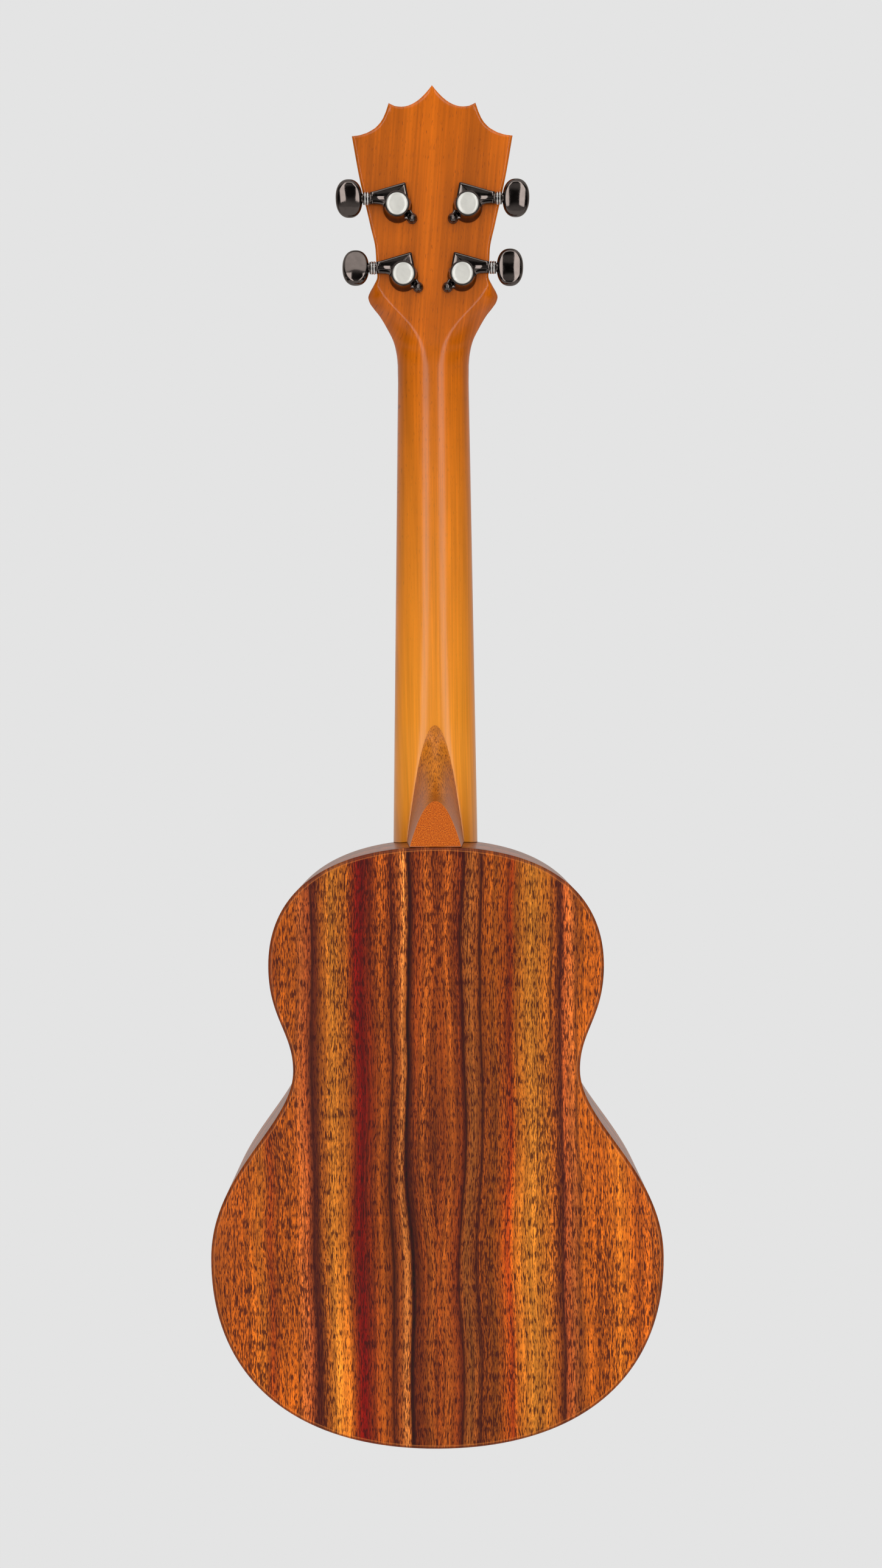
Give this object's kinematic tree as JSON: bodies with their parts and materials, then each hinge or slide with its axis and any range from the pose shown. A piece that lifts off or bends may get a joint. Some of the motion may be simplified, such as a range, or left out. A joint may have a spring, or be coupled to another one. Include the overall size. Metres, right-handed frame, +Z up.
{
  "type": "ukulele",
  "caption": "Tenor ukulele with a figured wood body, pointed scalloped head, stacked heel and geared tuning machines with oval buttons.",
  "frame": {"origin": "where the arms of a wall hanger meet the underside of the head's ears, on the centre line, level with the front of the soundboard", "axes": "+Z runs up the neck, +Y out of the back, +X towards the treble side (the right side seen from the front)"},
  "size_m": [0.2196, 0.0872, 0.6731],
  "materials": {
    "koa_top": "gloss lacquer over figured koa, guessed to match the back",
    "koa_back": "gloss lacquer over book-matched figured koa",
    "koa_side": "gloss lacquer over bent figured koa",
    "lining_wood": "bare sanded",
    "block_wood": "bare sanded",
    "spruce": "bare sanded",
    "heel_wood": "satin lacquer over open-pored wood",
    "neck_wood": "satin lacquer over honey-coloured wood",
    "dark_veneer": "satin lacquer",
    "fretboard_wood": "oiled",
    "bridge_wood": "oiled",
    "bone": "polished bone",
    "black_chrome": "polished black chrome plating",
    "button_chrome": "polished black chrome plating",
    "pearl_cap": "satin silver-white, with no mark",
    "gear_brass": "machined",
    "string": "clear fluorocarbon"
  },
  "bodies": {
    "root": {"soundboard": "koa_top", "back_plate": "koa_back", "side_treble": "koa_side", "side_bass": "koa_side", "lining_front_treble": "lining_wood", "lining_back_treble": "lining_wood", "lining_front_bass": "lining_wood", "lining_back_bass": "lining_wood", "neck_block": "block_wood", "tail_block": "block_wood", "brace_top_upper": "spruce", "brace_top_lower": "spruce", "brace_back_1": "spruce", "brace_back_2": "spruce", "brace_fan_1": "spruce", "brace_fan_2": "spruce", "brace_fan_3": "spruce", "heel_block": "heel_wood", "neck": "neck_wood", "headplate": "dark_veneer", "fretboard": "fretboard_wood", "nut": "bone", "bridge": "bridge_wood", "saddle": "bone", "string_1": "string", "string_2": "string", "string_3": "string", "string_4": "string", "housing_1": "black_chrome", "gear_cap_1": "pearl_cap", "fixing_screw_1": "black_chrome", "bushing_1": "black_chrome", "housing_2": "black_chrome", "gear_cap_2": "pearl_cap", "fixing_screw_2": "black_chrome", "bushing_2": "black_chrome", "housing_3": "black_chrome", "gear_cap_3": "pearl_cap", "fixing_screw_3": "black_chrome", "bushing_3": "black_chrome", "housing_4": "black_chrome", "gear_cap_4": "pearl_cap", "fixing_screw_4": "black_chrome", "bushing_4": "black_chrome"},
    "button_turns_1": {"worm_shaft_1": "black_chrome", "button_1": "button_chrome"},
    "post_turns_1": {"string_post_1": "black_chrome", "worm_wheel_1": "gear_brass"},
    "button_turns_2": {"worm_shaft_2": "black_chrome", "button_2": "button_chrome"},
    "post_turns_2": {"string_post_2": "black_chrome", "worm_wheel_2": "gear_brass"},
    "button_turns_3": {"worm_shaft_3": "black_chrome", "button_3": "button_chrome"},
    "post_turns_3": {"string_post_3": "black_chrome", "worm_wheel_3": "gear_brass"},
    "button_turns_4": {"worm_shaft_4": "black_chrome", "button_4": "button_chrome"},
    "post_turns_4": {"string_post_4": "black_chrome", "worm_wheel_4": "gear_brass"}
  },
  "joints": [
    {"name": "button_turn_1", "type": "hinge", "parent": "root", "child": "button_turns_1", "pos_m": [0.015, 0.0289, 0.02553], "axis": [1, 0, 0], "continuous": true},
    {"name": "post_turn_1", "type": "hinge", "parent": "root", "child": "post_turns_1", "pos_m": [0.015, 0.02456, 0.02218], "axis": [0, 0.9703, -0.2419], "continuous": true},
    {"name": "button_turn_2", "type": "hinge", "parent": "root", "child": "button_turns_2", "pos_m": [0.0178, 0.03703, 0.05813], "axis": [1, 0, 0], "continuous": true},
    {"name": "post_turn_2", "type": "hinge", "parent": "root", "child": "post_turns_2", "pos_m": [0.0178, 0.03269, 0.05478], "axis": [0, 0.9703, -0.2419], "continuous": true},
    {"name": "button_turn_3", "type": "hinge", "parent": "root", "child": "button_turns_3", "pos_m": [-0.0178, 0.03703, 0.05813], "axis": [1, 0, 0], "continuous": true},
    {"name": "post_turn_3", "type": "hinge", "parent": "root", "child": "post_turns_3", "pos_m": [-0.0178, 0.03269, 0.05478], "axis": [0, 0.9703, -0.2419], "continuous": true},
    {"name": "button_turn_4", "type": "hinge", "parent": "root", "child": "button_turns_4", "pos_m": [-0.015, 0.0289, 0.02553], "axis": [1, 0, 0], "continuous": true},
    {"name": "post_turn_4", "type": "hinge", "parent": "root", "child": "post_turns_4", "pos_m": [-0.015, 0.02456, 0.02218], "axis": [0, 0.9703, -0.2419], "continuous": true}
  ],
  "couplings": [
    {"joint": "post_turn_1", "follows": "button_turn_1", "ratio": -0.071429},
    {"joint": "post_turn_2", "follows": "button_turn_2", "ratio": -0.071429},
    {"joint": "post_turn_3", "follows": "button_turn_3", "ratio": -0.071429},
    {"joint": "post_turn_4", "follows": "button_turn_4", "ratio": -0.071429}
  ]
}
